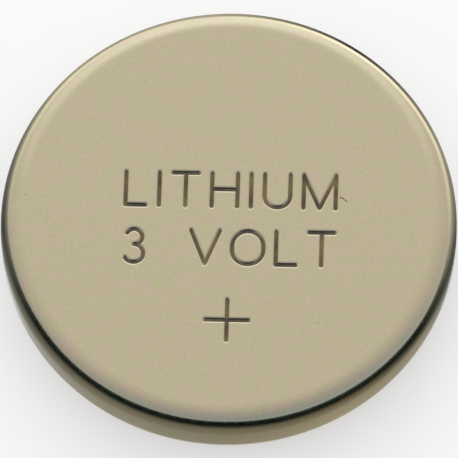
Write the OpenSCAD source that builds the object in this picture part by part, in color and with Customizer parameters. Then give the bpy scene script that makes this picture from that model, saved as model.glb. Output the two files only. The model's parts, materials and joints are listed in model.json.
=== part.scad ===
// Lithium coin cell: a drawn steel can crimped over a gasket and a stepped cap, with its electrodes inside.
// Z is the cell's axis. The cell lies on its negative face, at Z = 0, with the positive face on top.

/* [Cell] */
// Overall diameter
cell_d = 20; // [16:0.1:24.5]
// Overall height, from the negative face to the positive face
cell_h = 3.2; // [2.7:0.1:5]

/* [Positive can] */
// Thickness of the can's sheet
can_t = 0.25; // [0.2:0.01:0.3]
// Outside radius of the drawn edge round the positive face
face_edge_r = 1; // [0.7:0.05:1.2]
// Outside radius of the crimp
crimp_r = 1; // [0.9:0.05:1.1]
// Flat land at the end of the crimp
lip_land = 0.05; // [0.02:0.01:0.2]

/* [Negative cap] */
// Thickness of the cap's sheet
cap_t = 0.25; // [0.2:0.01:0.3]
// How far the negative face stands out past the crimp
cap_proud = 0.25; // [0.2:0.01:0.4]
// Outside radius of the edge round the negative face
cap_edge_r = 0.4; // [0.35:0.01:0.5]
// Radius in the corner between the cap's neck and its shoulder
neck_fillet_r = 0.2; // [0.1:0.01:0.25]

/* [Gasket] */
// Space between the can and the cap that the gasket fills
seal_gap = 0.35; // [0.25:0.01:0.45]
// Width of the ring of gasket that shows between the crimp and the cap
bead_w = 0.25; // [0.2:0.01:0.4]
// How far that ring stays inside the crimp's lower face
bead_recess = 0.05; // [0:0.01:0.1]
// Thickness of the gasket's foot between the cap's rim and the can
foot_h = 0.45; // [0.35:0.01:0.6]
// How far the foot reaches inside the cap's skirt
foot_reach = 0.4; // [0.2:0.05:0.6]
// Film of sealant on each side of the gasket
sealant_film = 0.01; // [0.005:0.005:0.02]

/* [Electrodes] */
// Thickness of the lithium disc
lithium_t = 0.55; // [0.3:0.05:0.7]
// Space round the lithium disc inside the cap's neck
lithium_gap = 0.65; // [0.2:0.05:1]
// Thickness of the separator
separator_t = 0.15; // [0.05:0.01:0.25]
// Space round the separator inside the cap's neck
separator_gap = 0.15; // [0.05:0.01:0.4]
// Space round the cathode pellet inside the gasket's foot
pellet_gap = 0.75; // [0.3:0.05:1.5]
// Chamfer on the pellet's pressed edges
pellet_chamfer = 0.15; // [0.05:0.01:0.3]

/* [Collector grid] */
// Thickness of the expanded sheet
grid_t = 0.1; // [0.05:0.01:0.2]
// How far the grid stays inside the pellet's edge
grid_margin = 0.4; // [0:0.05:1.5]
// Length of one diamond opening
opening_l = 2; // [1.6:0.05:3]
// Width of one diamond opening
opening_w = 1; // [0.8:0.05:1.5]
// Width of the strands between the openings
strand_w = 0.2; // [0.1:0.01:0.4]

/* [Hidden] */
$fn = 128;

// Radii, from the cell's side inwards
cell_r = cell_d / 2;
crimp_centre_r = cell_r - crimp_r;
lip_r = crimp_centre_r - lip_land;
neck_r = lip_r - bead_w;
skirt_r = cell_r - can_t - seal_gap;
foot_r = skirt_r - cap_t - foot_reach;

// The cap's shoulder turns about the same centre as the crimp above it
shoulder_r = crimp_r - can_t - seal_gap;
shoulder_z = cap_proud + can_t + seal_gap;
rim_z = cell_h - can_t - foot_h;

// The electrodes are stacked between the cap and the can, and the pellet takes the height that is left
lithium_z = cap_t;
separator_z = lithium_z + lithium_t;
pellet_z = separator_z + separator_t;
grid_z = cell_h - can_t - grid_t;
lithium_r = neck_r - cap_t - lithium_gap;
separator_r = neck_r - cap_t - separator_gap;
pellet_r = foot_r - pellet_gap;
grid_r = pellet_r - grid_margin;

// Half of the can's outline, filled to the axis and taken in all round by inset
module can_outline(inset) {
    side_r = cell_r - inset;
    bottom_z = cap_proud + inset;
    top_z = cell_h - inset;
    edge_z = cell_h - face_edge_r;
    crimp_z = cap_proud + crimp_r;
    translate([0, bottom_z]) square([crimp_centre_r, crimp_z - bottom_z]);
    translate([0, crimp_z]) square([side_r, edge_z - crimp_z]);
    translate([0, edge_z]) square([cell_r - face_edge_r, top_z - edge_z]);
    translate([crimp_centre_r, crimp_z]) circle(crimp_r - inset);
    translate([cell_r - face_edge_r, edge_z]) circle(face_edge_r - inset);
}

// Half of the cap's outline, filled to the axis up to top_z and grown all round by grow
module cap_outline(grow, top_z) {
    side_r = neck_r + grow;
    under_z = shoulder_z - grow;
    fillet = neck_fillet_r - grow;
    corner_z = shoulder_z + shoulder_r;
    translate([0, -grow]) square([neck_r - cap_edge_r, cap_edge_r + grow]);
    translate([neck_r - cap_edge_r, cap_edge_r]) circle(cap_edge_r + grow);
    translate([0, cap_edge_r]) square([side_r, top_z - cap_edge_r]);
    difference() {
        translate([side_r, under_z - fillet]) square(fillet);
        translate([side_r + fillet, under_z - fillet]) circle(fillet);
    }
    translate([0, under_z]) square([crimp_centre_r, corner_z - under_z]);
    translate([crimp_centre_r, corner_z]) circle(shoulder_r + grow);
    translate([0, corner_z]) square([skirt_r + grow, top_z - corner_z]);
}

// Half of the ring of gasket that is squeezed out between the crimp and the cap, with its round end
module bead_outline() {
    bead_r = bead_w / 2 - sealant_film;
    tip_z = cap_proud + bead_recess + bead_r;
    translate([neck_r + bead_w / 2, tip_z]) circle(bead_r);
    translate([neck_r + sealant_film, tip_z]) square([2 * bead_r, shoulder_z - tip_z]);
}

// Drawn cup with a rounded edge, crimped inwards at its mouth
module positive_can() {
    color("silver") rotate_extrude() difference() {
        can_outline(0);
        can_outline(can_t);
        square([lip_r, cap_proud + crimp_r]);
    }
}

// Moulded ring that fills the seam: bead, wall, and a foot under the cap's rim
module sealing_gasket() {
    color("whitesmoke") rotate_extrude() difference() {
        union() {
            can_outline(can_t + sealant_film);
            bead_outline();
        }
        cap_outline(sealant_film, rim_z + sealant_film);
        translate([0, rim_z]) square([foot_r, foot_h]);
    }
}

// Stepped cup: negative face, neck, shoulder and skirt
module negative_cap() {
    color("gainsboro") rotate_extrude() difference() {
        cap_outline(0, rim_z);
        cap_outline(-cap_t, cell_h);
    }
}

// Disc punched from lithium strip, pressed into the cap
module lithium_disc() {
    color("lightgray") translate([0, 0, lithium_z]) cylinder(r = lithium_r, h = lithium_t);
}

// Disc of non-woven sheet between the electrodes
module separator() {
    color("white") translate([0, 0, separator_z]) cylinder(r = separator_r, h = separator_t);
}

// Pressed tablet with chamfered edges
module cathode_pellet() {
    pellet_h = grid_z - pellet_z;
    flat_r = pellet_r - pellet_chamfer;
    color("dimgray") translate([0, 0, pellet_z]) rotate_extrude() polygon([
        [0, 0],
        [flat_r, 0],
        [pellet_r, pellet_chamfer],
        [pellet_r, pellet_h - pellet_chamfer],
        [flat_r, pellet_h],
        [0, pellet_h]
    ]);
}

// One diamond opening of the expanded sheet
module diamond() {
    polygon([[-opening_l / 2, 0], [0, -opening_w / 2], [opening_l / 2, 0], [0, opening_w / 2]]);
}

// Disc of expanded sheet between the pellet and the can, with the openings that fit inside its edge
module collector_grid() {
    slant = sqrt(opening_l * opening_l + opening_w * opening_w);
    step_x = opening_l + strand_w * slant / opening_w;
    step_y = opening_w + strand_w * slant / opening_l;
    columns = ceil(grid_r / step_x);
    rows = ceil(grid_r / step_y);
    reach = grid_r - strand_w - opening_l / 2;
    color("darkgray") translate([0, 0, grid_z]) linear_extrude(grid_t) difference() {
        circle(grid_r);
        for (i = [-columns : columns], j = [-rows : rows], half = [0, 0.5]) {
            centre = [(i + half) * step_x, (j + half) * step_y];
            if (norm(centre) < reach) translate(centre) diamond();
        }
    }
}

positive_can();
sealing_gasket();
negative_cap();
lithium_disc();
separator();
cathode_pellet();
collector_grid();
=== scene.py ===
import json
import math

import bmesh
import bpy
from mathutils import Matrix, Vector

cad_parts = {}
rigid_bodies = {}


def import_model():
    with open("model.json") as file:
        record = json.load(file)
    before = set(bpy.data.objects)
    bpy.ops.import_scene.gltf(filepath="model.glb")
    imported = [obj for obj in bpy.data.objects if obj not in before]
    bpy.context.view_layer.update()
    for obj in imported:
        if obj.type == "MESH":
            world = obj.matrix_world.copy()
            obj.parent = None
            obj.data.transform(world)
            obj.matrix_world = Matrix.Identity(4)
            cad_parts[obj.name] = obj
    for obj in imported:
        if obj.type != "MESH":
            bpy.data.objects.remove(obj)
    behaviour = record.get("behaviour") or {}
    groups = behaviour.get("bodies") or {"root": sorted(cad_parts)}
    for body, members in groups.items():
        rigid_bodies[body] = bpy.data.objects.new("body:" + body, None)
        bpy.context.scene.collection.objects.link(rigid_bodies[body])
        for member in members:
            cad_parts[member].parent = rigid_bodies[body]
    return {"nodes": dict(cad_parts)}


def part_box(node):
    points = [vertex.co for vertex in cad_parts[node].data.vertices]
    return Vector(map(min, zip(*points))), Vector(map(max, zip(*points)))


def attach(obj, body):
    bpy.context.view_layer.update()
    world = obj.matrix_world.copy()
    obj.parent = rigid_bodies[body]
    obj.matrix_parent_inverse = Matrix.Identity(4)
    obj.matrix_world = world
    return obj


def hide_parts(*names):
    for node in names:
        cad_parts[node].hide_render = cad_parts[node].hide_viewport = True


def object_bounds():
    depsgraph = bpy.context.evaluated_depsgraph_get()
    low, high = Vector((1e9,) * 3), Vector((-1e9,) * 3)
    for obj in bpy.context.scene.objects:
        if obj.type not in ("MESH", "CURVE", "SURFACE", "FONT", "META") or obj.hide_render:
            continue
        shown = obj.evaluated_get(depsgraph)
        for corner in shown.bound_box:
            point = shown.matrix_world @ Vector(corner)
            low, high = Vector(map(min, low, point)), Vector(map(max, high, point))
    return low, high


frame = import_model()
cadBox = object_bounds()
print("frame loaded:", ", ".join(sorted(frame["nodes"])))

mm = 0.001
scene = bpy.context.scene
scene.view_settings.view_transform = "Standard"


# Camera

cameraView = {
    "imageSize": 458,          # pixels along one side of the square picture
    "pixelsPerMm": 22.78,      # at the middle of the cell
    "middle": (228.9, 228.9),  # where the middle of the cell falls in the picture
    "elevation": 67,           # degrees above the table
    "azimuth": 4.1,            # degrees round the cell from the line of the marks
    "roll": -2.6,              # degrees, the far edge leans to the left
    "distance": 400,           # mm, far off through a long lens
    "clip": (10, 10000),       # mm, the nearest and the farthest that it sees
}


def addCamera(view):
    low, high = cadBox
    turn, rise = math.radians(view["azimuth"]), math.radians(view["elevation"])
    back = Vector((math.sin(turn) * math.cos(rise), -math.cos(turn) * math.cos(rise), math.sin(rise)))
    spin = Matrix.Rotation(math.radians(view["roll"]), 4, "Z")
    aim = (-back).to_track_quat("-Z", "Y").to_matrix().to_4x4() @ spin
    offX, offY = (place - view["imageSize"] / 2 for place in view["middle"])
    aside = aim @ Vector((-offX, offY, 0)) * mm / view["pixelsPerMm"]
    data = bpy.data.cameras.new("camera")
    data.lens = data.sensor_width * view["distance"] * view["pixelsPerMm"] / view["imageSize"]
    data.clip_start, data.clip_end = (reach * mm for reach in view["clip"])
    camera = bpy.data.objects.new("camera", data)
    scene.collection.objects.link(camera)
    place = (low + high) / 2 + aside + back * view["distance"] * mm
    camera.matrix_world = Matrix.Translation(place) @ aim
    scene.camera = camera


addCamera(cameraView)
print("camera set")


# Node helpers

def addNode(tree, kind, **settings):
    node = tree.nodes.new(kind)
    for name, value in settings.items():
        setattr(node, name, value)
    return node


def plug(tree, socket, value):  # a link, or a constant
    if isinstance(value, bpy.types.NodeSocket):
        tree.links.new(value, socket)
    else:
        socket.default_value = value


def feed(tree, node, **inputs):
    for name, value in inputs.items():
        plug(tree, node.inputs[name.replace("_", " ")], value)
    return node


def sums(tree, operation, *values):
    node = addNode(tree, "ShaderNodeMath", operation=operation)
    for socket, value in zip(node.inputs, values):
        plug(tree, socket, value)
    return node.outputs["Value"]


def vectorSums(tree, operation, *vectors):
    node = addNode(tree, "ShaderNodeVectorMath", operation=operation)
    for socket, vector in zip(node.inputs, vectors):
        plug(tree, socket, vector)
    return node.outputs


def splitAxes(tree, vector):
    return feed(tree, addNode(tree, "ShaderNodeSeparateXYZ"), Vector=vector).outputs


def joinAxes(tree, x, y, z=0.0):
    return feed(tree, addNode(tree, "ShaderNodeCombineXYZ"), X=x, Y=y, Z=z).outputs["Vector"]


def mapping(tree, vector, **settings):
    return feed(tree, addNode(tree, "ShaderNodeMapping"), Vector=vector, **settings).outputs["Vector"]


def ramp(tree, factor, stops):
    node = addNode(tree, "ShaderNodeValToRGB")
    elements = node.color_ramp.elements
    while len(elements) < len(stops):
        elements.new(1.0)
    for element, (place, colour) in zip(elements, stops):
        element.position = place
        element.color = (*colour, 1)
    plug(tree, node.inputs["Fac"], factor)
    return node.outputs["Color"]


def remap(tree, value, span, to=(0.0, 1.0)):
    node = addNode(tree, "ShaderNodeMapRange")
    feed(tree, node, Value=value, From_Min=span[0], From_Max=span[1], To_Min=to[0], To_Max=to[1])
    return node.outputs["Result"]


def mixColours(tree, factor, first, second, blend="MIX"):
    node = addNode(tree, "ShaderNodeMix", data_type="RGBA", blend_type=blend)
    for index, value in ((0, factor), (6, first), (7, second)):  # a Mix node's sockets for colours
        plug(tree, node.inputs[index], (*value, 1) if isinstance(value, tuple) else value)
    return node.outputs[2]


noiseSpan = (0.3, 0.7)  # nearly all of a noise lies between these


def noise(tree, vector, scale, detail):
    node = addNode(tree, "ShaderNodeTexNoise")
    return feed(tree, node, Vector=vector, Scale=scale, Detail=detail).outputs["Fac"]


# World: soft light that is brightest low behind the cell and fades to the dark low in front of it

tent = {
    "azimuth": 93,    # degrees, 90 is straight behind the cell
    "elevation": 24,  # degrees
    "tones": [        # from the side away from the brightest place to that place
        (0.12, (0.02, 0.025, 0.03)),
        (0.20, (0.12, 0.14, 0.17)),
        (0.28, (0.45, 0.50, 0.58)),
        (0.35, (0.56, 0.61, 0.70)),
        (0.50, (0.65, 0.66, 0.72)),
        (0.65, (0.79, 0.785, 0.82)),
        (0.78, (0.89, 0.88, 0.89)),
        (0.86, (0.95, 0.95, 0.94)),
        (0.92, (1.15, 1.18, 1.19)),
        (0.96, (1.32, 1.36, 1.40)),
        (1.00, (1.55, 1.60, 1.75)),
    ],
}


def lightTent(values):
    world = bpy.data.worlds.new("tent")
    world.use_nodes = True
    world.cycles.sampling_method = "NONE"  # smooth light needs no search for bright spots
    scene.world = world
    tree = world.node_tree
    tree.nodes.clear()
    turn, rise = math.radians(values["azimuth"]), math.radians(values["elevation"])
    brightest = (math.cos(turn) * math.cos(rise), math.sin(turn) * math.cos(rise), math.sin(rise))
    looking = addNode(tree, "ShaderNodeTexCoord").outputs["Generated"]
    toward = vectorSums(tree, "DOT_PRODUCT", looking, brightest)["Value"]
    sky = ramp(tree, remap(tree, toward, (-1.0, 1.0)), values["tones"])
    background = feed(tree, addNode(tree, "ShaderNodeBackground"), Color=sky, Strength=1.0)
    output = addNode(tree, "ShaderNodeOutputWorld")
    tree.links.new(background.outputs[0], output.inputs["Surface"])


lightTent(tent)
print("light tent set")


# Mesh helpers: a pen draws in mm, (x, y) is a line and (x, y, degrees) an arc about that centre

joinReach = 0.0005  # mm, points nearer than this become one


def joinPoints(bm):
    bmesh.ops.remove_doubles(bm, verts=bm.verts[:], dist=joinReach)


def addPiece(bm, name, home=scene.collection):
    bmesh.ops.recalc_face_normals(bm, faces=bm.faces[:])
    bmesh.ops.scale(bm, vec=(mm, mm, mm), verts=bm.verts[:])
    for face in bm.faces:
        face.smooth = True
    mesh = bpy.data.meshes.new(name)
    bm.to_mesh(mesh)
    bm.free()
    piece = bpy.data.objects.new(name, mesh)
    home.objects.link(piece)
    return piece


def turnRound(bm, turns):
    bmesh.ops.spin(bm, geom=bm.verts[:] + bm.edges[:], cent=(0, 0, 0), axis=(0, 0, 1),
                   angle=math.tau, steps=turns, use_merge=True)
    joinPoints(bm)


def drawHalf(bm, start, moves, arcStep=9):
    # half of a turned piece's section, with radius across and height up, and the arcs' step in degrees
    tip = bm.verts.new((start[0], 0, start[1]))
    for across, up, *sweep in moves:
        if sweep:
            swept = bmesh.ops.spin(bm, geom=[tip], cent=(across, 0, up), axis=(0, 1, 0),
                                   angle=math.radians(sweep[0]), steps=round(abs(sweep[0]) / arcStep))
            tip = swept["geom_last"][0]
        else:
            tip = bmesh.ops.extrude_vert_indiv(bm, verts=[tip])["verts"][0]
            tip.co = (across, 0, up)
    joinPoints(bm)


def turnPiece(name, start, moves, shape):
    bm = bmesh.new()
    drawHalf(bm, start, moves, shape["arcStep"])
    turnRound(bm, shape["turns"])
    return addPiece(bm, name)


def keepCrisp(piece, degrees):  # edges that turn further than this aren't smoothed over
    piece.data.set_sharp_from_angle(angle=math.radians(degrees))


def takeOver(piece, node):
    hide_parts(node)
    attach(piece, "root")


# Positive can

canShape = {
    "sheet": 0.25,        # mm
    "faceEdge": 1.0,      # outside radius round the positive face
    "crimp": 1.0,         # outside radius of the crimp
    "lipLand": 0.05,      # flat at the end of the crimp
    "supportRing": 0.12,  # ring of faces that keeps the flat flat
    "arcStep": 4.5,       # degrees
    "turns": 256,         # faces round the cell
}


def makeCan(shape):
    low, high = (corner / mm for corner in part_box("positive_can"))
    side, bottom, top = high.x, low.z, high.z
    sheet, edge, crimp = shape["sheet"], shape["faceEdge"], shape["crimp"]
    flat, turnIn = side - edge, side - crimp
    lip = turnIn - shape["lipLand"]
    moves = [
        (flat / 3, top), (flat * 2 / 3, top), (flat - shape["supportRing"], top), (flat, top),
        (flat, top - edge, 90), (side, bottom + crimp), (turnIn, bottom + crimp, 90),
        (lip, bottom), (lip, bottom + sheet), (turnIn, bottom + sheet), (turnIn, bottom + crimp, -90),
        (side - sheet, top - edge), (flat, top - edge, -90), (0, top - sheet),
    ]
    return turnPiece("positiveCan", (0, top), moves, shape)


can = makeCan(canShape)
takeOver(can, "positive_can")
print("can turned:", len(can.data.polygons), "faces")


# Stamped marks on the positive face

# Each letter: its width, then the start and the pen's moves of each stroke, in letter heights
letters = {
    "L": (0.56, [((0, 1), [(0, 0), (0.56, 0)])]),
    "I": (0.00, [((0, 1), [(0, 0)])]),
    "T": (0.72, [((0, 1), [(0.72, 1)]), ((0.36, 1), [(0.36, 0)])]),
    "H": (0.72, [((0, 1), [(0, 0)]), ((0.72, 1), [(0.72, 0)]), ((0, 0.52), [(0.72, 0.52)])]),
    "U": (0.72, [((0, 1), [(0, 0.36), (0.36, 0.36, 180), (0.72, 1)])]),
    "M": (0.90, [((0, 0), [(0, 1), (0.45, 0), (0.9, 1), (0.9, 0)])]),
    "V": (0.80, [((0, 1), [(0.4, 0), (0.8, 1)])]),
    "O": (0.88, [((0, 0.44), [(0.44, 0.44, 180), (0.88, 0.56), (0.44, 0.56, 180), (0, 0.44)])]),
    "3": (0.57, [((0.08, 0.885), [(0.28, 0.77, -240), (0.28, 0.27, -240)])]),
    "+": (1.00, [((0, 0.5), [(1, 0.5)]), ((0.5, 0), [(0.5, 1)])]),
    " ": (0.60, []),
}

marks = {
    "lines": [  # words, middle of the line, letter height and width of the line, in mm
        ("LITHIUM", (0.08, 1.18), 1.56, 9.2),
        ("3 VOLT", (0.08, -1.54), 1.56, 9.2),
        ("+", (0.08, -4.97), 1.9, 1.9),
    ],
    "blade": [(0, 0), (0.1, 0.098), (0.16, 0.122), (0.16, 0.2)],  # half of the stamp's section, mm
    "depth": 0.12,         # mm
    "scratch": [(4.86, 0.93), (5.00, 0.88), (5.17, 0.73)],  # mm, beside the end of the first line
    "scratchDepth": 0.03,  # mm
    "arcStep": 5,          # degrees
    "turns": 24,           # faces round the end of a stroke
    "weld": 0.002,         # mm, reach for joining the slivers that stamping leaves
    "crisp": 7,            # degrees
}


def bladeAcross(bm, spot, heading):
    half = marks["blade"]
    outline = half + [(-across, up) for across, up in reversed(half) if across > 0]
    turn = Matrix.Translation(spot) @ Matrix.Rotation(heading - math.pi / 2, 4, "Z")
    verts = [bm.verts.new(turn @ Vector((across, 0, up))) for across, up in outline]
    return bmesh.ops.contextual_create(bm, geom=verts)["faces"][0]


def stampLine(start, end, home):
    bm = bmesh.new()
    reach = end - start
    face = bladeAcross(bm, start, math.atan2(reach.y, reach.x))
    grown = bmesh.ops.extrude_face_region(bm, geom=[face])["geom"]
    farEnd = [part for part in grown if isinstance(part, bmesh.types.BMVert)]
    bmesh.ops.translate(bm, verts=farEnd, vec=reach)
    addPiece(bm, "stampLine", home)


def stampArc(start, centre, sweep, home):
    bm = bmesh.new()
    spoke = start - centre
    face = bladeAcross(bm, start, math.atan2(spoke.y, spoke.x) + math.pi / 2)
    bmesh.ops.spin(bm, geom=[face] + face.edges[:] + face.verts[:], cent=centre, axis=(0, 0, 1),
                   angle=sweep, steps=round(abs(math.degrees(sweep)) / marks["arcStep"]))
    addPiece(bm, "stampArc", home)
    return centre + Matrix.Rotation(sweep, 3, "Z") @ spoke


def stampEnd(spot, home):
    bm = bmesh.new()
    half = marks["blade"]
    drawHalf(bm, half[0], half[1:] + [(0, half[-1][1])])
    turnRound(bm, marks["turns"])
    bmesh.ops.translate(bm, verts=bm.verts[:], vec=spot)
    addPiece(bm, "stampEnd", home)


def stampStroke(start, moves, place, home):
    tip = place(*start)
    stampEnd(tip, home)
    for across, up, *sweep in moves:
        if sweep:
            tip = stampArc(tip, place(across, up), math.radians(sweep[0]), home)
        else:
            stampLine(tip, place(across, up), home)
            tip = place(across, up)
        stampEnd(tip, home)


def stampLetter(strokes, left, middle, height, bottom, home):
    def place(across, up):
        return Vector((left + across * height, middle + (up - 0.5) * height, bottom))

    for start, moves in strokes:
        stampStroke(start, moves, place, home)


def stampWords(text, middle, height, width, bottom, home):
    spare = width - height * sum(letters[letter][0] for letter in text)
    gap = spare / max(1, len(text) - 1)
    left = middle[0] - width / 2
    for letter in text:
        letterWidth, strokes = letters[letter]
        stampLetter(strokes, left, middle[1], height, bottom, home)
        left += letterWidth * height + gap


def weld(mesh, reach):
    # joins the slivers, then clears the loose edges and closes the gaps that this leaves
    bm = bmesh.new()
    bm.from_mesh(mesh)
    bmesh.ops.remove_doubles(bm, verts=bm.verts[:], dist=reach * mm)
    bmesh.ops.dissolve_degenerate(bm, edges=bm.edges[:], dist=reach * mm)
    bmesh.ops.delete(bm, geom=[edge for edge in bm.edges if not edge.link_faces], context="EDGES")
    bmesh.ops.holes_fill(bm, edges=[edge for edge in bm.edges if edge.is_boundary])
    for face in bm.faces:
        face.smooth = True
    bm.to_mesh(mesh)
    bm.free()


def cutStamp(piece, stamp):
    boolean = piece.modifiers.new("marks", "BOOLEAN")
    boolean.operation = "DIFFERENCE"
    boolean.solver = "MANIFOLD"
    boolean.operand_type = "COLLECTION"
    boolean.collection = stamp
    bpy.context.view_layer.update()
    graph = bpy.context.evaluated_depsgraph_get()
    stamped = bpy.data.meshes.new_from_object(piece.evaluated_get(graph))
    piece.modifiers.clear()
    weld(stamped, marks["weld"])
    piece.data = stamped


def stampMarks(piece):
    stamp = bpy.data.collections.new("stamp")
    scene.collection.children.link(stamp)
    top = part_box("positive_can")[1].z / mm
    for text, middle, height, width in marks["lines"]:
        stampWords(text, middle, height, width, top - marks["depth"], stamp)
    start, *moves = marks["scratch"]
    stampStroke(start, moves, lambda x, y: Vector((x, y, top - marks["scratchDepth"])), stamp)
    cutStamp(piece, stamp)
    for part in list(stamp.objects):
        bpy.data.objects.remove(part)
    bpy.data.collections.remove(stamp)


stampMarks(can)
keepCrisp(can, marks["crisp"])
print("marks stamped:", len(can.data.polygons), "faces")


# Negative cap

capShape = {
    "sheet": 0.25,       # mm
    "faceEdge": 0.4,     # outside radius round the negative face
    "neck": 8.7,         # radius of the neck
    "neckFillet": 0.2,
    "shoulder": 0.85,    # height of the shoulder
    "shoulderEdge": 0.4,
    "supportRing": 0.1,  # ring of faces that keeps the flat flat
    "arcStep": 9,        # degrees
    "turns": 256,        # faces round the cell
    "crisp": 40,         # degrees
}


def makeCap(shape):
    skirt, rim = (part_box("negative_cap")[1][axis] / mm for axis in (0, 2))
    sheet, neck, edge = shape["sheet"], shape["neck"], shape["faceEdge"]
    fillet, shoulder, corner = shape["neckFillet"], shape["shoulder"], shape["shoulderEdge"]
    flat, bend, foldIn = neck - edge, neck + fillet, skirt - corner
    moves = [
        (flat / 2, 0), (flat - shape["supportRing"], 0), (flat, 0), (flat, edge, -90),
        (neck, shoulder - fillet), (bend, shoulder - fillet, 90), (foldIn, shoulder),
        (foldIn, shoulder + corner, -90), (skirt, rim), (skirt - sheet, rim),
        (skirt - sheet, shoulder + corner), (foldIn, shoulder + corner, 90), (bend, shoulder + sheet),
        (bend, shoulder - fillet, -90), (neck - sheet, edge), (flat, edge, 90), (0, sheet),
    ]
    return turnPiece("negativeCap", (0, 0), moves, shape)


cap = makeCap(capShape)
keepCrisp(cap, capShape["crisp"])
takeOver(cap, "negative_cap")
print("cap turned:", len(cap.data.polygons), "faces")


# Sealing gasket

gasketShape = {
    "film": 0.01,   # mm of sealant between the gasket and the metal
    "bead": 0.25,   # width of the ring that shows
    "foot": 8.75,   # inner radius of the foot
    "arcStep": 9,   # degrees
    "turns": 192,   # faces round the cell
    "crisp": 40,    # degrees
}


def makeGasket(shape):
    low, high = (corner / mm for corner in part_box("sealing_gasket"))
    canLow, canHigh = (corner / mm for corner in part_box("positive_can"))
    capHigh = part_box("negative_cap")[1] / mm
    film, foot, side = shape["film"], shape["foot"], high.x
    neck, fillet = capShape["neck"] + film, capShape["neckFillet"] - film
    bend, shoulder = neck + fillet, capShape["shoulder"] - film
    skirt, capRim = capHigh.x + film, capHigh.z + film
    beadRadius = shape["bead"] / 2 - film
    tip = low.z + beadRadius
    turnIn = canHigh.x - canShape["crimp"]
    crimpTurn, edgeTurn = canLow.z + canShape["crimp"], canHigh.z - canShape["faceEdge"]
    seat = crimpTurn - (canShape["crimp"] - canShape["sheet"] - film)
    moves = [
        (neck + beadRadius, tip, -180), (neck + 2 * beadRadius, seat), (turnIn, seat),
        (turnIn, crimpTurn, -90), (side, edgeTurn), (turnIn, edgeTurn, -90), (foot, high.z),
        (foot, capRim), (skirt, capRim), (skirt, crimpTurn), (turnIn, crimpTurn, 90), (bend, shoulder),
        (bend, shoulder - fillet, -90), (neck, tip),
    ]
    return turnPiece("sealingGasket", (neck, tip), moves, shape)


gasket = makeGasket(gasketShape)
keepCrisp(gasket, gasketShape["crisp"])
takeOver(gasket, "sealing_gasket")
print("gasket turned:", len(gasket.data.polygons), "faces")


# Shared effects; every place and size in them is in mm

def newGroup(name, inputs, outputs):
    group = bpy.data.node_groups.new(name, "ShaderNodeTree")
    for side, sockets in (("INPUT", inputs), ("OUTPUT", outputs)):
        for socketName, kind in sockets.items():
            group.interface.new_socket(name=socketName, in_out=side, socket_type="NodeSocket" + kind)
    return group, addNode(group, "NodeGroupInput").outputs, addNode(group, "NodeGroupOutput")


def makeTurned():  # places on a turned piece: along its rings, or along the way it was drawn
    ringDrift = 0.4     # how far a ring's pattern wanders on the way round
    drawnRadius = 10.0  # where the drawn pattern has its true width
    drawnPace = 0.1     # of the drawn pattern up the side, where across it is 1
    outputs = {"Radius": "Float", "Height": "Float", "Rings": "Vector", "Drawn": "Vector"}
    group, given, result = newGroup("turned", {"Place": "Vector"}, outputs)
    axes = splitAxes(group, given["Place"])
    flat = joinAxes(group, axes["X"], axes["Y"])
    radius = vectorSums(group, "LENGTH", flat)["Value"]
    spoke = splitAxes(group, vectorSums(group, "NORMALIZE", flat)["Vector"])
    wander = [sums(group, "MULTIPLY", spoke[axis], ringDrift) for axis in "XY"]
    across = [sums(group, "MULTIPLY", spoke[axis], drawnRadius) for axis in "XY"]
    rings = joinAxes(group, radius, *wander)
    drawn = joinAxes(group, *across, sums(group, "MULTIPLY", axes["Z"], drawnPace))
    feed(group, result, Radius=radius, Height=axes["Z"], Rings=rings, Drawn=drawn)
    return group


def makePatches():  # slow change of tone
    group, given, result = newGroup("patches", {"Place": "Vector", "Size": "Float"}, {"Mask": "Float"})
    cloud = noise(group, given["Place"], sums(group, "DIVIDE", 1.0, given["Size"]), detail=2.0)
    feed(group, result, Mask=remap(group, cloud, noiseSpan))
    return group


def makeGrain():  # fine unevenness of a surface
    inputs = {"Place": "Vector", "Size": "Float", "Roughness": "Float", "Spread": "Float"}
    group, given, result = newGroup("grain", inputs, {"Roughness": "Float", "Height": "Float"})
    grain = noise(group, given["Place"], sums(group, "DIVIDE", 1.0, given["Size"]), detail=3.0)
    swing = remap(group, grain, noiseSpan, (-1.0, 1.0))
    rough = sums(group, "ADD", given["Roughness"], sums(group, "MULTIPLY", swing, given["Spread"]))
    feed(group, result, Roughness=rough, Height=grain)
    return group


def makeHairlines():  # long fine scratches in two directions, broken off here and there
    runs = ((0.5, 0.05, 0.35), (2.1, 0.08, 0.55))  # turn in radians, pace along, breaks per mm
    showing = (0.52, 0.6)  # where in the noise that breaks them a scratch begins to show, and is whole
    inputs = {"Place": "Vector", "Spacing": "Float", "Width": "Float"}  # width as a share of the noise
    group, given, result = newGroup("hairlines", inputs, {"Mask": "Float"})
    perMm = sums(group, "DIVIDE", 1.0, given["Spacing"])
    masks = []
    for turn, pace, breaks in runs:
        along = mapping(group, given["Place"], Rotation=(0, 0, turn), Scale=(pace, 1, 1))
        away = sums(group, "SUBTRACT", noise(group, along, perMm, detail=0.0), 0.5)
        line = remap(group, sums(group, "ABSOLUTE", away), (0.0, given["Width"]), (1.0, 0.0))
        broken = remap(group, noise(group, given["Place"], breaks, detail=1.0), showing)
        masks.append(sums(group, "MULTIPLY", line, broken))
    feed(group, result, Mask=sums(group, "MAXIMUM", *masks))
    return group


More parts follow.
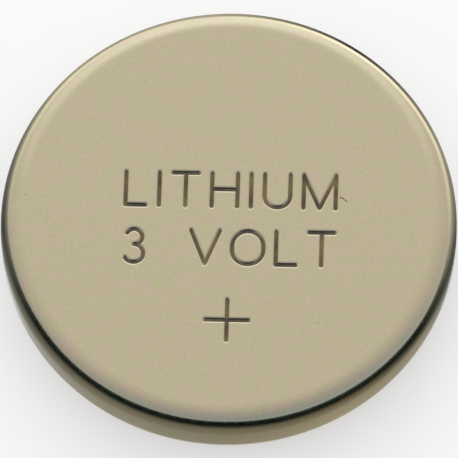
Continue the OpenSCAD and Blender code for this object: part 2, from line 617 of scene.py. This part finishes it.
def makeSpecks():  # small spots, in a share of the cells of a loose grid
    core = 0.4  # share of a spot's radius that has its full strength
    inputs = {"Place": "Vector", "Spacing": "Float", "Radius": "Float", "Share": "Float"}
    group, given, result = newGroup("specks", inputs, {"Mask": "Float"})
    cells = addNode(group, "ShaderNodeTexVoronoi", voronoi_dimensions="3D")
    feed(group, cells, Vector=given["Place"], Scale=sums(group, "DIVIDE", 1.0, given["Spacing"]))
    away = sums(group, "MULTIPLY", cells.outputs["Distance"], given["Spacing"])
    fade = (sums(group, "MULTIPLY", given["Radius"], core), given["Radius"])
    spot = remap(group, away, fade, (1.0, 0.0))
    draw = feed(group, addNode(group, "ShaderNodeSeparateColor"), Color=cells.outputs["Color"]).outputs[0]
    chosen = sums(group, "LESS_THAN", draw, given["Share"])
    feed(group, result, Mask=sums(group, "MULTIPLY", spot, chosen))
    return group


def makeRubbed():  # ring of wear round a turned piece
    patchesPerMm = 2.5
    worn = (0.4, 0.62)  # where in the noise the wear begins and is full
    inputs = {"Place": "Vector", "Radius": "Float", "Middle": "Float", "Reach": "Float"}
    group, given, result = newGroup("rubbed", inputs, {"Mask": "Float"})
    away = sums(group, "ABSOLUTE", sums(group, "SUBTRACT", given["Radius"], given["Middle"]))
    band = remap(group, sums(group, "DIVIDE", away, given["Reach"]), (0.0, 1.0), (1.0, 0.0))
    uneven = remap(group, noise(group, given["Place"], patchesPerMm, detail=3.0), worn)
    feed(group, result, Mask=sums(group, "MULTIPLY", band, uneven))
    return group


effects = {
    "turned": makeTurned(),
    "patches": makePatches(),
    "grain": makeGrain(),
    "hairlines": makeHairlines(),
    "specks": makeSpecks(),
    "rubbed": makeRubbed(),
}
print("effects made:", ", ".join(sorted(effects)))


# Material helpers

def effect(tree, name, **inputs):
    return feed(tree, addNode(tree, "ShaderNodeGroup", node_tree=effects[name]), **inputs).outputs


def newMaterial(name):
    material = bpy.data.materials.new(name)
    material.use_nodes = True
    tree = material.node_tree
    tree.nodes.clear()
    output = addNode(tree, "ShaderNodeOutputMaterial")
    shader = addNode(tree, "ShaderNodeBsdfPrincipled")
    tree.links.new(shader.outputs[0], output.inputs["Surface"])
    return material, tree, shader


def placeInMm(tree):
    place = addNode(tree, "ShaderNodeTexCoord").outputs["Object"]
    return mapping(tree, place, Scale=(1 / mm, 1 / mm, 1 / mm))


def bump(tree, height, depth):  # depth in mm
    node = feed(tree, addNode(tree, "ShaderNodeBump"), Strength=1.0, Distance=depth * mm, Height=height)
    return node.outputs["Normal"]


def mottled(tree, place, size, first, second):
    patch = effect(tree, "patches", Place=place, Size=size)["Mask"]
    return mixColours(tree, patch, first, second)


def grained(tree, place, values):
    return effect(tree, "grain", Place=place, Size=values["grain"], Roughness=values["roughness"],
                  Spread=values["spread"])


def wornRoughness(tree, place, turned, roughness, edge, values):
    # adds scratches, and a ring of wear a little way in from an edge of that radius
    lines = effect(tree, "hairlines", Place=place, Spacing=values["scratchSpacing"],
                   Width=values["scratchWidth"])["Mask"]
    ring = effect(tree, "rubbed", Place=place, Radius=turned["Radius"],
                  Middle=edge - values["rubbedInset"], Reach=values["rubbedReach"])["Mask"]
    scratched = sums(tree, "MULTIPLY", lines, values["scratchRoughness"])
    rubbed = sums(tree, "MULTIPLY", ring, values["rubbedRoughness"])
    return sums(tree, "ADD", sums(tree, "ADD", roughness, scratched), rubbed)


# Finish of each piece, with its lengths in mm

plate = {
    "pink": (0.532, 0.439, 0.322),
    "green": (0.493, 0.460, 0.291),
    "patch": 0.5,
    "shade": 0.035,             # how far the grain lightens and darkens the colour
    "paintedMarkShade": (0.55, 0.57, 0.68),  # painted shade: what is left of the colour deep in a stamped mark, where it is darkest
    "markShadePatch": 1.0,
    "markShadeLeast": 0.3,           # share of that painted shade in the lightest patches
    "markShadeDepth": (0.02, 0.05),  # below the face, where the painted shade begins and where it is full
    "speck": (0.20, 0.17, 0.11),
    "speckSpacing": 1.0,
    "speckRadius": 0.06,
    "speckShare": 0.4,          # share of the places for a speck that have one
    "speckStrength": 0.4,
    "roughness": 0.15,
    "spread": 0.015,
    "grain": 0.16,
    "grainDepth": 0.0008,
    "scratchSpacing": 0.9,
    "scratchWidth": 0.006,      # share of the noise that lays them
    "scratchRoughness": 0.05,   # what a scratch adds
    "rubbedInset": 0.25,
    "rubbedReach": 0.3,
    "rubbedRoughness": 0.04,    # what wear adds
    "drawnSpacing": 0.2,        # of the lines up the side from drawing
    "drawnDepth": 0.0015,
    "drawnInset": (0.2, 0.02),  # in from the side, where those lines begin and where they are full
}


# Painted shade: darkens the colour in the stamped marks more the deeper they go, unevenly in patches
def paintedShadeInMarks(tree, place, turned, values):
    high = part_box("positive_can")[1] / mm
    depth = sums(tree, "SUBTRACT", high.z, turned["Height"])
    onFace = sums(tree, "LESS_THAN", turned["Radius"], high.x - canShape["faceEdge"])
    inMark = sums(tree, "MULTIPLY", remap(tree, depth, values["markShadeDepth"]), onFace)
    shadePatches = effect(tree, "patches", Place=place, Size=values["markShadePatch"])["Mask"]
    return sums(tree, "MULTIPLY", inMark, remap(tree, shadePatches, (0.0, 1.0), (values["markShadeLeast"], 1.0)))


def plateColour(tree, place, turned, grain, values):
    colour = mottled(tree, place, values["patch"], values["green"], values["pink"])
    specks = effect(tree, "specks", Place=place, Spacing=values["speckSpacing"],
                    Radius=values["speckRadius"], Share=values["speckShare"])["Mask"]
    faint = sums(tree, "MULTIPLY", specks, values["speckStrength"])
    colour = mixColours(tree, faint, colour, values["speck"])
    # painted shade in the stamped marks
    markShade = paintedShadeInMarks(tree, place, turned, values)
    colour = mixColours(tree, markShade, colour, values["paintedMarkShade"], "MULTIPLY")
    shade = remap(tree, grain["Height"], noiseSpan, (1 - values["shade"], 1 + values["shade"]))
    return mixColours(tree, 1.0, colour, shade, "MULTIPLY")


def plateRelief(tree, turned, grain, side, values):
    drawn = noise(tree, turned["Drawn"], 1 / values["drawnSpacing"], detail=2.0)
    onSide = remap(tree, turned["Radius"], [side - inset for inset in values["drawnInset"]])
    fine = sums(tree, "MULTIPLY", grain["Height"], values["grainDepth"] / values["drawnDepth"])
    height = sums(tree, "ADD", fine, sums(tree, "MULTIPLY", drawn, onSide))
    return bump(tree, height, values["drawnDepth"])


def finishPlate(values):
    material, tree, shader = newMaterial("nickelPlate")
    place = placeInMm(tree)
    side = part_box("positive_can")[1].x / mm
    turned = effect(tree, "turned", Place=place)
    grain = grained(tree, place, values)
    feed(tree, shader, Base_Color=plateColour(tree, place, turned, grain, values), Metallic=1.0,
         Roughness=wornRoughness(tree, place, turned, grain["Roughness"], side, values),
         Normal=plateRelief(tree, turned, grain, side, values))
    return material


capSteel = {
    "bright": (0.55, 0.52, 0.46),
    "dull": (0.50, 0.47, 0.41),
    "patch": 1.4,
    "roughness": 0.28,
    "spread": 0.04,
    "grain": 0.09,             # width of the fine rings
    "ringDepth": 0.0012,
    "scratchSpacing": 0.7,
    "scratchWidth": 0.008,     # share of the noise that lays them
    "scratchRoughness": 0.06,  # what a scratch adds
    "rubbedInset": 0.2,
    "rubbedReach": 0.25,
    "rubbedRoughness": -0.08,  # wear polishes it
}


def finishCap(values):
    material, tree, shader = newMaterial("satinSteel")
    place = placeInMm(tree)
    turned = effect(tree, "turned", Place=place)
    rings = grained(tree, turned["Rings"], values)
    colour = mottled(tree, place, values["patch"], values["bright"], values["dull"])
    rough = wornRoughness(tree, place, turned, rings["Roughness"], capShape["neck"], values)
    feed(tree, shader, Base_Color=colour, Metallic=1.0, Roughness=rough,
         Normal=bump(tree, rings["Height"], values["ringDepth"]))
    return material


polymer = {
    "pale": (0.62, 0.61, 0.57),
    "dark": (0.54, 0.53, 0.49),
    "patch": 1.1,
    "roughness": 0.42,
    "spread": 0.05,
    "grain": 0.05,
    "grainDepth": 0.003,
    "ior": 1.49,
}


def finishPolymer(values):
    material, tree, shader = newMaterial("mouldedPolymer")
    place = placeInMm(tree)
    colour = mottled(tree, place, values["patch"], values["pale"], values["dark"])
    grain = grained(tree, place, values)
    feed(tree, shader, Base_Color=colour, Roughness=grain["Roughness"], IOR=values["ior"],
         Normal=bump(tree, grain["Height"], values["grainDepth"]))
    return material


lithium = {
    "clean": (0.58, 0.58, 0.57),
    "tarnish": (0.33, 0.32, 0.33),
    "patch": 2.2,
    "roughness": 0.5,
    "spread": 0.08,
    "grain": 0.12,
    "rolledPace": 0.04,   # of the grain along the strip, where across it is 1
    "rolledDepth": 0.004,
}


def finishLithium(values):
    material, tree, shader = newMaterial("rolledLithium")
    place = placeInMm(tree)
    colour = mottled(tree, place, values["patch"], values["clean"], values["tarnish"])
    rolled = grained(tree, mapping(tree, place, Scale=(values["rolledPace"], 1, 1)), values)
    feed(tree, shader, Base_Color=colour, Metallic=1.0, Roughness=rolled["Roughness"],
         Normal=bump(tree, rolled["Height"], values["rolledDepth"]))
    return material


fleece = {
    "fibre": (0.86, 0.86, 0.84),
    "shade": (0.66, 0.66, 0.63),
    "fibreSpacing": 0.12,
    "fibreWidth": 0.12,  # share of the noise that lays them
    "roughness": 0.85,
    "spread": 0.05,
    "grain": 0.08,
    "fibreDepth": 0.02,
}


def finishFleece(values):
    material, tree, shader = newMaterial("fibreFleece")
    place = placeInMm(tree)
    fibres = effect(tree, "hairlines", Place=place, Spacing=values["fibreSpacing"],
                    Width=values["fibreWidth"])["Mask"]
    grain = grained(tree, place, values)
    raised = sums(tree, "MAXIMUM", fibres, grain["Height"])
    feed(tree, shader, Base_Color=mixColours(tree, raised, values["shade"], values["fibre"]),
         Roughness=grain["Roughness"],
         Normal=bump(tree, sums(tree, "ADD", fibres, grain["Height"]), values["fibreDepth"]))
    return material


pellet = {
    "black": (0.020, 0.019, 0.018),
    "grey": (0.050, 0.048, 0.046),
    "patch": 0.5,
    "glint": (0.16, 0.16, 0.16),
    "glintSpacing": 0.16,
    "glintRadius": 0.04,
    "glintShare": 0.3,   # share of the places for a glint that have one
    "glintPolish": 0.3,  # roughness that a glint lacks
    "roughness": 0.8,
    "spread": 0.1,
    "grain": 0.07,
    "grainDepth": 0.02,
}


def finishPellet(values):
    material, tree, shader = newMaterial("pressedPowder")
    place = placeInMm(tree)
    glint = effect(tree, "specks", Place=place, Spacing=values["glintSpacing"],
                   Radius=values["glintRadius"], Share=values["glintShare"])["Mask"]
    colour = mottled(tree, place, values["patch"], values["black"], values["grey"])
    colour = mixColours(tree, glint, colour, values["glint"])
    grain = grained(tree, place, values)
    polish = sums(tree, "MULTIPLY", glint, values["glintPolish"])
    feed(tree, shader, Base_Color=colour, Roughness=sums(tree, "SUBTRACT", grain["Roughness"], polish),
         Normal=bump(tree, grain["Height"], values["grainDepth"]))
    return material


gridSteel = {
    "bright": (0.50, 0.49, 0.47),
    "dull": (0.40, 0.39, 0.37),
    "patch": 0.6,
    "roughness": 0.34,
    "spread": 0.06,
    "grain": 0.05,
    "grainDepth": 0.002,
}


def finishGrid(values):
    material, tree, shader = newMaterial("expandedSteel")
    place = placeInMm(tree)
    colour = mottled(tree, place, values["patch"], values["bright"], values["dull"])
    grain = grained(tree, place, values)
    feed(tree, shader, Base_Color=colour, Metallic=1.0, Roughness=grain["Roughness"],
         Normal=bump(tree, grain["Height"], values["grainDepth"]))
    return material


can.data.materials.clear()
can.data.materials.append(finishPlate(plate))
cap.data.materials.append(finishCap(capSteel))
gasket.data.materials.append(finishPolymer(polymer))
inside = {
    "lithium_disc": finishLithium(lithium),
    "separator": finishFleece(fleece),
    "cathode_pellet": finishPellet(pellet),
    "collector_grid": finishGrid(gridSteel),
}
for node, material in inside.items():
    for slot in frame["nodes"][node].material_slots:
        slot.material = material
print("finishes set")


# Floor

floorShape = {
    "radius": 680,      # mm
    "rim": 30,          # mm, radius of the upturned edge
    "turns": 96,        # faces round it
    "colour": (0.58, 0.575, 0.56),
    "roughness": 0.9,
    "glow": 0.48,       # the light table's own white
}


def makeFloor(shape):
    bm = bmesh.new()
    drawHalf(bm, (0, 0), [(shape["radius"], 0), (shape["radius"], shape["rim"], -90)])
    turnRound(bm, shape["turns"])
    floor = addPiece(bm, "floor")
    material, tree, shader = newMaterial("floorPaper")
    rays = addNode(tree, "ShaderNodeLightPath").outputs
    seen = sums(tree, "MAXIMUM", rays["Is Camera Ray"], rays["Is Glossy Ray"])
    seen = sums(tree, "MAXIMUM", seen, rays["Is Transmission Ray"])
    feed(tree, shader, Base_Color=(*shape["colour"], 1), Roughness=shape["roughness"],
         Emission_Color=(1, 1, 1, 1), Emission_Strength=sums(tree, "MULTIPLY", seen, shape["glow"]))
    floor.data.materials.append(material)


makeFloor(floorShape)


# Hoop that only the metal sees: where its glow meets its dark, the edges get their dark line

hoopShape = {
    "radius": 11.6,      # mm
    "footRadius": 10.2,  # mm, at the floor
    "glowHeight": 1.1,   # mm, the glow above the dark, which fades into the tent
    "glowRings": 3,      # rings of points that it has, from its top down to the dark
    "depths": (0, 0.27, 0.47, 1),  # where the dark tones stand, as shares of the way down to the floor
    "turns": 128,        # faces round it
    "cool": (0.5, 1, 1.05),        # tint of the deepest dark
    "neutral": (0.87, 1, 1.17),    # tint of the paler dark where its warmth is 0
    "warm": (1.06, 1, 0.82),       # and where its warmth is 1
    "paleTone": 0.15,              # dark tone from which that tint is full
    # Degrees from the left by way of the near side, then the height of the dark in mm,
    # the glow's colour, the dark tones from the top down, and their warmth
    "places": [
        (0, 3.15, (0.80, 0.81, 0.81), (0.46, 0.17, 0.08, 0.36), 0.15),
        (13, 3.5, (0.72, 0.73, 0.78), (0.20, 0.09, 0.20, 0.72), 0.15),
        (27, 3.92, (0.64, 0.66, 0.74), (0.06, 0.015, 0.19, 0.54), 0.4),
        (55, 4.0, (0.58, 0.64, 0.75), (0.04, 0.015, 0.27, 0.48), 0.65),
        (90, 4.08, (0.50, 0.62, 0.76), (0.012, 0.012, 0.28, 0.44), 0.75),
        (122, 3.65, (0.57, 0.67, 0.83), (0.05, 0.012, 0.22, 0.56), 1.0),
        (153, 2.95, (0.62, 0.70, 0.86), (0.06, 0.012, 0.05, 0.44), 1.0),
        (166, 2.87, (0.73, 0.78, 0.87), (0.24, 0.10, 0.09, 0.24), 0.5),
        (180, 2.8, (0.85, 0.86, 0.88), (0.70, 0.44, 0.20, 0.06), 0.4),
        (205, 2.2, (1.50, 1.50, 1.50), (0.80, 0.45, 0.45, 0.60), 0.75),
        (240, 2.55, (2.30, 2.30, 2.30), (0.10, 0.05, 0.05, 0.05), 0.75),
        (275, 2.7, (1.50, 1.52, 1.58), (0.80, 0.65, 0.55, 0.65), 0.75),
        (315, 2.4, (1.50, 1.50, 1.50), (0.95, 0.60, 0.42, 0.35), 0.75),
    ],
}


def hoopAt(shape, across, along):
    # the dark's height, then a colour for each ring of points, between the two places on either side
    way = math.degrees(math.atan2(along, across)) + 180
    stops = shape["places"] + [(360, *shape["places"][0][1:])]
    after = next(index for index in range(1, len(stops)) if stops[index][0] >= way)
    angles, heights, glows, darks, warmths = zip(*stops[after - 1:after + 1])
    share = (way - angles[0]) / (angles[1] - angles[0])
    tones = Vector(darks[0]).lerp(Vector(darks[1]), share)
    warmth = warmths[0] + (warmths[1] - warmths[0]) * share
    pale = Vector(shape["neutral"]).lerp(Vector(shape["warm"]), warmth)
    colours = [Vector(glows[0]).lerp(Vector(glows[1]), share)] * shape["glowRings"]
    for tone in tones:
        tint = Vector(shape["cool"]).lerp(pale, min(1, tone / shape["paleTone"]))
        colours.append(tint * tone)
    return heights[0] + (heights[1] - heights[0]) * share, colours


def shapeHoop(bm, shape):
    # rings of points 1 mm apart, so that each is known by its height until it gets its own
    radius, glowRings = shape["radius"], shape["glowRings"]
    rings = glowRings + len(shape["depths"])
    drawHalf(bm, (radius, 0), [(radius, -ring) for ring in range(1, rings)])
    turnRound(bm, shape["turns"])
    glow = bm.verts.layers.float_color.new("glow")
    for vert in bm.verts:
        ring = round(-vert.co.z)
        height, colours = hoopAt(shape, vert.co.x, vert.co.y)
        vert[glow] = (*colours[ring], 0 if ring == 0 else 1)  # clear at the top
        if ring < glowRings:
            vert.co.z = height + shape["glowHeight"] * (1 - ring / (glowRings - 1))
        else:
            depth = shape["depths"][ring - glowRings]
            inward = shape["footRadius"] / radius if depth == 1 else 1
            vert.co = (vert.co.x * inward, vert.co.y * inward, height * (1 - depth))


def hangHoop(shape):
    bm = bmesh.new()
    shapeHoop(bm, shape)
    hoop = addPiece(bm, "hoop")
    for way in ("camera", "diffuse", "shadow", "transmission"):
        setattr(hoop, "visible_" + way, False)
    material, tree, shader = newMaterial("hoopGlow")
    material.cycles.emission_sampling = "NONE"
    hoop.data.materials.append(material)
    painted = addNode(tree, "ShaderNodeAttribute", attribute_name="glow").outputs
    feed(tree, shader, Base_Color=(0, 0, 0, 1), Roughness=1.0, Specular_IOR_Level=0.0,
         Emission_Strength=1.0, Emission_Color=painted["Color"], Alpha=painted["Alpha"])


hangHoop(hoopShape)
print("floor and hoop set")
